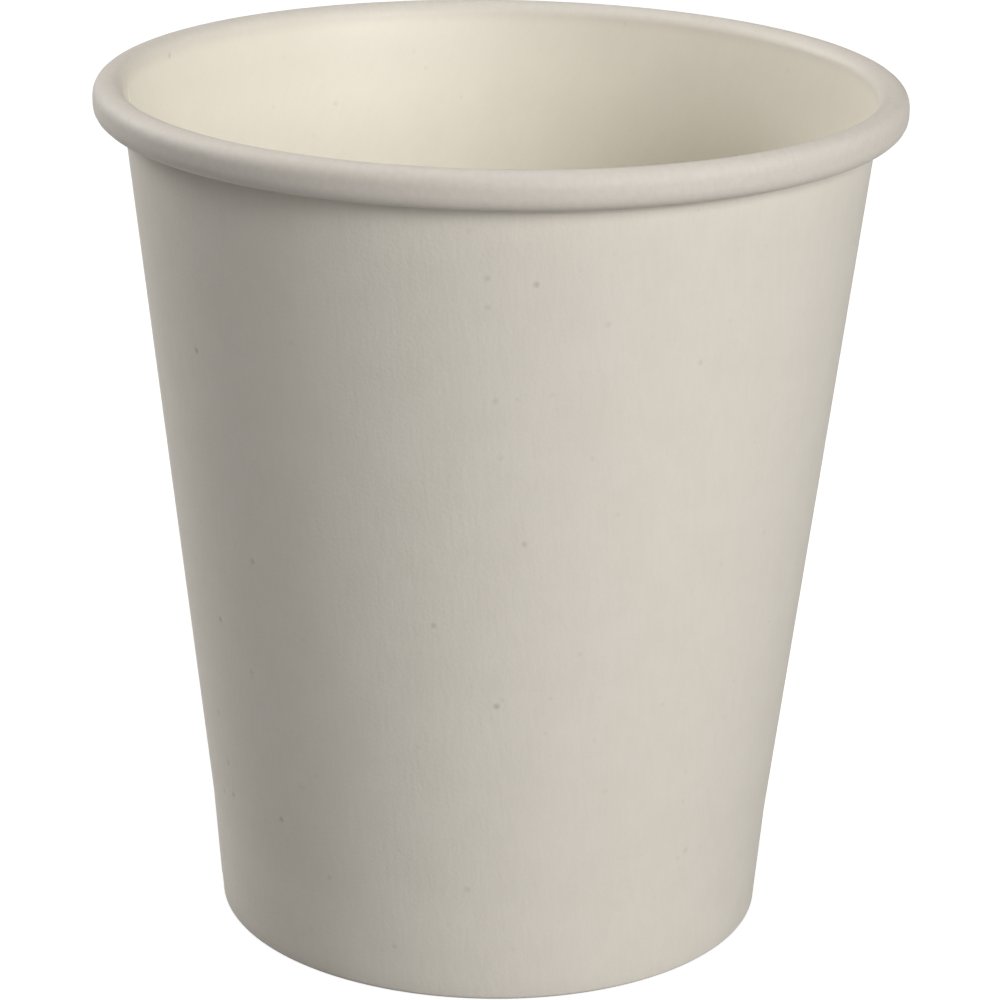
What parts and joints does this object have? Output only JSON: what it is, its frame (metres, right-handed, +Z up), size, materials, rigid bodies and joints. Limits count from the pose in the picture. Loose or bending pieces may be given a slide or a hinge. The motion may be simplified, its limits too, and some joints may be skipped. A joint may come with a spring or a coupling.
{
  "type": "paper coffee cup",
  "caption": "Plain tapered paper coffee cup with a rolled rim, a lapped side seam and a recessed bottom disc.",
  "frame": {"origin": "centre of the foot ring, on the surface that the cup stands on", "axes": "+Z up along the cup's axis; the side seam is towards -X, and the picture looks along +Y"},
  "size_m": [0.073, 0.073, 0.079],
  "materials": {
    "wall_board": "matte",
    "disc_board": "satin"
  },
  "bodies": {
    "root": {"sidewall": "wall_board", "bottom_disc": "disc_board"}
  },
  "joints": []
}
